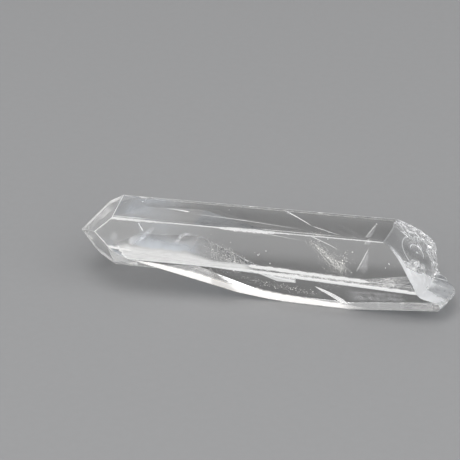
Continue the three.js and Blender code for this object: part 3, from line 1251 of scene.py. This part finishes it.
class QUARTZ_OT_films(bpy.types.Operator):
    """Builds the thin pale films inside the crystal"""
    bl_idname = "quartz.films"
    bl_label = "Build films"

    def execute(self, context):
        s, colours = context.scene.quartz_sizes, context.scene.quartz_colours
        fan = [
            self.pane([(39.8, -0.5, 7.65), (40.15, -0.6, 7.6)],
                      [(38.45, -2.2, 4.7), (40.2, -2.5, 4.2)], 31, 0.28, 0.35, 0.45),
            self.pane([(40.1, 2.7, 8.37), (40.45, 2.6, 8.37)],
                      [(39.3, -1.4, 8.37), (40.3, -1.2, 8.37)], 32, 0.30, 0.2, 0.5)]
        patches = [
            self.pane([(10.7, -2.0, 9.0), (11.5, -2.2, 8.9)],
                      [(8.1, -3.5, 6.5), (8.8, -3.6, 6.3)], 33, 0.95, 0.4),
            self.pane([(27.0, 4.45, 7.7), (28.4, 4.1, 7.7)],
                      [(27.6, 3.8, 7.7), (29.0, 3.2, 7.7)], 34, 0.5, 0.4),
            self.pane([(4.7, -2.6, 8.0), (6.3, -2.8, 8.0)],
                      [(4.7, -3.4, 6.7), (6.3, -3.5, 6.7)], 35, 0.35, 0.5)]
        heel = film([(36.6, -3.4, 3.7), (45.2, -4.0, 4.2)], [(37.4, -3.6, 1.0), (46.6, -4.3, 2.2)],
                    lambda u, v: 0.30 * soft_rim(u, v, 0.25) * (0.7 + 0.3 * np.sin(14.0 * v)), 36)
        hook = self.pane(
            [(16.6, -1.9, 8.3), (15.2, -2.0, 8.3), (14.2, -2.3, 7.7), (13.5, -3.0, 6.4)],
            [(16.4, -2.1, 7.8), (15.4, -2.2, 7.8), (14.7, -2.5, 7.2), (14.1, -3.2, 6.0)],
            37, 0.8, 0.45, sway=0.5)
        # The last number of each film material but s is its painted glow.
        pale = film_material("films", colours.films, 1.3, 0.35, 0.20, s)
        inside_piece("films", fan + patches + [heel, hook], pale, s)
        # The painted reflection band: a thin white film with a painted glow just behind the front
        # faces, standing for light mirrored off the underside inside the crystal.
        band = film(behind_front(BAND_TOP, s, BAND_DEPTH), behind_front(BAND_FOOT, s, BAND_DEPTH),
                    self.low_cover, 38, 0.1, (160, 20))
        shine = film_material("painted_reflection_band", colours.painted_reflection_band, 2.2, 0.85, 0.50, s)
        inside_piece("painted_reflection_band", [band], shine, s)
        return {"FINISHED"}

    def pane(self, upper, lower, seed, dense, rim, rising=0.0, sway=1.0):
        """A film as dense as dense at its lower curve and thinner by rising at its
        upper one, with soft rims.
        """
        return film(upper, lower, lambda u, v: dense * soft_rim(u, v, rim)
                    * (1.0 - rising + rising * v), seed, sway)

    def low_cover(self, u, v):
        """Cover of the painted reflection band: dense, with a soft ragged upper rim, thinning out
        at both ends.
        """
        start = (0.09 + 0.035 * np.sin(23.0 * u + 2.0 * np.sin(9.0 * u))
                 + 0.03 * np.sin(71.0 * u + 3.0 * np.sin(13.0 * u)) + 0.02 * np.sin(167.0 * u))
        return 0.97 * ease(start, start + 0.3, v) * ease(0.0, 0.05, u) * ease(1.0, 0.86, u)


class QUARTZ_OT_stage(bpy.types.Operator):
    """Builds the floor, the lights and the camera"""
    bl_idname = "quartz.stage"
    bl_label = "Build stage"

    def execute(self, context):
        scene = context.scene
        stage = scene.quartz_stage
        self.floor(stage)
        self.sky(scene)
        for box in SOFT_BOXES:
            self.panel(*box)
        self.camera(scene, stage)
        scene.cycles.max_bounces = 24
        scene.cycles.transmission_bounces = 20
        scene.cycles.glossy_bounces = 12
        scene.cycles.caustics_refractive = True
        scene.cycles.caustics_reflective = True
        scene.view_settings.view_transform = "Standard"
        return {"FINISHED"}

    def floor(self, stage):
        """A large square just below the crystal, so that light turns back inside it."""
        half, low = 1.5, -stage.floor_gap
        points = [(-half, -half, low), (half, -half, low), (half, half, low), (-half, half, low)]
        floor = mesh_object("floor", points, [[0, 1, 2, 3]])
        floor.data.materials.append(floor_material(tuple(stage.floor_colour)))

    def sky(self, scene):
        """A soft sky, dark near the floor, with a few brighter and darker places."""
        scene.world = bpy.data.worlds.new("soft_room")
        n = Nodes(scene.world)
        where = n.add("TexCoord").outputs["Generated"]
        level = n.add("SeparateXYZ", Vector=where).outputs["Z"]
        bright = n.ramp(level, 0.06, 0.17, 0.12, 0.46)
        for turn, rise, rim, heart, change in SKY_SPOTS:
            near = n.measure("DOT_PRODUCT", where, self.towards(turn, rise))
            bright = bright + n.ramp(near, rim, heart, 0.0, change)
        back = n.add("Background", Color=(0.98, 0.99, 1.0, 1.0), Strength=bright)
        n.add("OutputWorld", Surface=back.outputs[0])

    def towards(self, turn, rise):
        """The direction at a turn, 0 behind the crystal and growing towards +X, and at
        a rise above the floor, both in degrees.
        """
        turn, rise = math.radians(turn), math.radians(rise)
        return Vector((
            math.sin(turn) * math.cos(rise),
            math.cos(turn) * math.cos(rise),
            math.sin(rise)))

    def panel(self, name, turn, rise, size, watts):
        """A square soft box that faces the crystal."""
        light = bpy.data.lights.new(name, "AREA")
        light.shape = "SQUARE"
        light.size = size
        light.energy = watts
        lamp = bpy.data.objects.new(name, light)
        lamp.location = self.towards(turn, rise) * BOX_AWAY
        lamp.rotation_euler = (-lamp.location).to_track_quat("-Z", "Y").to_euler()
        bpy.context.scene.collection.objects.link(lamp)

    def camera(self, scene, stage):
        """Looks at the middle of the crystal, which is then shifted in the picture."""
        turn, rise, roll = stage.azimuth, stage.elevation, stage.roll
        right = Vector((math.cos(turn), math.sin(turn), 0.0))
        back = Vector((
            math.sin(turn) * math.cos(rise), -math.cos(turn) * math.cos(rise), math.sin(rise)))
        up = back.cross(right)
        across = right * math.cos(roll) - up * math.sin(roll)
        above = right * math.sin(roll) + up * math.cos(roll)
        pixel = stage.frame_width / PICTURE_PIXELS
        target = tip_foot(scene.quartz_sizes) + Vector(LOOK_AT) * MM
        target = target - across * SHIFT_RIGHT * pixel + above * SHIFT_DOWN * pixel
        lens = bpy.data.cameras.new("camera")
        lens.sensor_width = 36.0
        lens.lens = lens.sensor_width * stage.distance / stage.frame_width
        lens.clip_start = 0.01
        lens.clip_end = 10.0
        camera = bpy.data.objects.new("camera", lens)
        frame_axes = Matrix((across, above, back)).transposed().to_4x4()
        camera.matrix_world = Matrix.Translation(target + back * stage.distance) @ frame_axes
        scene.collection.objects.link(camera)
        scene.camera = camera


class QUARTZ_PT_panel(bpy.types.Panel):
    """Lists the steps in order"""
    bl_label = "Quartz point"
    bl_idname = "QUARTZ_PT_panel"
    bl_space_type = "VIEW_3D"
    bl_region_type = "UI"
    bl_category = "Quartz"

    def draw(self, context):
        for step in STEPS:
            self.layout.operator(step.bl_idname)


STEPS = (
    QUARTZ_OT_crystal,
    QUARTZ_OT_specks,
    QUARTZ_OT_streaks,
    QUARTZ_OT_films,
    QUARTZ_OT_stage,
)
GROUPS = {
    "quartz_sizes": CrystalSizes,
    "quartz_break": BreakSizes,
    "quartz_colours": FinishColours,
    "quartz_stage": StageSizes,
}
CLASSES = (*GROUPS.values(), *STEPS, QUARTZ_PT_panel)


def register():
    for item in CLASSES:
        bpy.utils.register_class(item)
    for name, group in GROUPS.items():
        setattr(bpy.types.Scene, name, bpy.props.PointerProperty(type=group))


def unregister():
    for name in GROUPS:
        delattr(bpy.types.Scene, name)
    for item in reversed(CLASSES):
        bpy.utils.unregister_class(item)


def main():
    register()
    bpy.ops.quartz.crystal()
    bpy.ops.quartz.specks()
    bpy.ops.quartz.streaks()
    bpy.ops.quartz.films()
    bpy.ops.quartz.stage()


if __name__ == "__main__":
    main()
